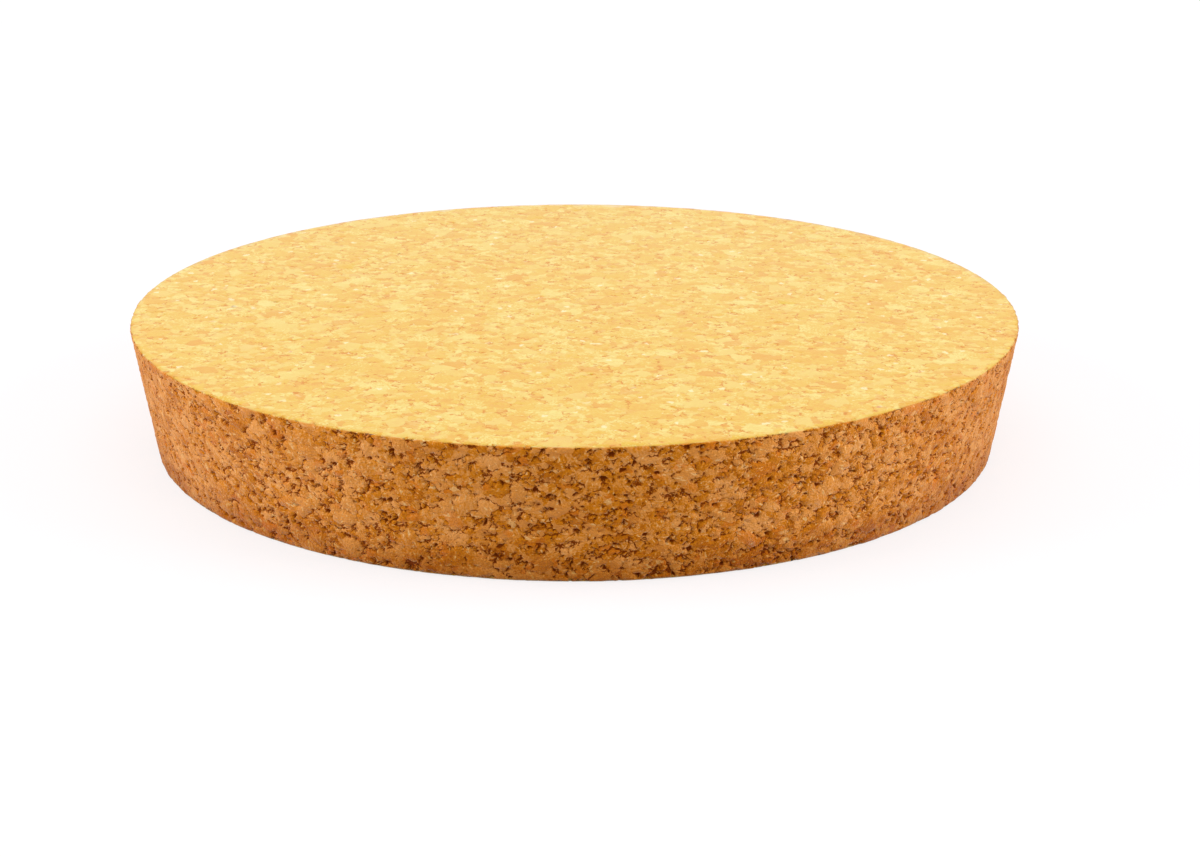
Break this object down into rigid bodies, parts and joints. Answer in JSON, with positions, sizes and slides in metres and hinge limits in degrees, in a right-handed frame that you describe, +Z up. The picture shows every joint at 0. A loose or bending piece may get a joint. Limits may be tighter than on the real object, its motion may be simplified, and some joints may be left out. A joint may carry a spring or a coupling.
{
  "type": "cork stopper",
  "caption": "Wide, shallow tapered stopper of pressed cork granules, which plugs the mouth of a large jar or crock.",
  "frame": {"origin": "centre of the smaller face, which the stopper stands on", "axes": "+Z up along the stopper's axis, from the smaller face to the larger; X and Y lie in the faces, and the stopper is round about Z"},
  "size_m": [0.1748, 0.1748, 0.0254],
  "materials": {
    "cork": "pressed cork granules, matte: paler and sanded smooth on both faces, browner and more open on the ground side"
  },
  "bodies": {
    "root": {"cork_stopper": "cork"}
  },
  "joints": []
}
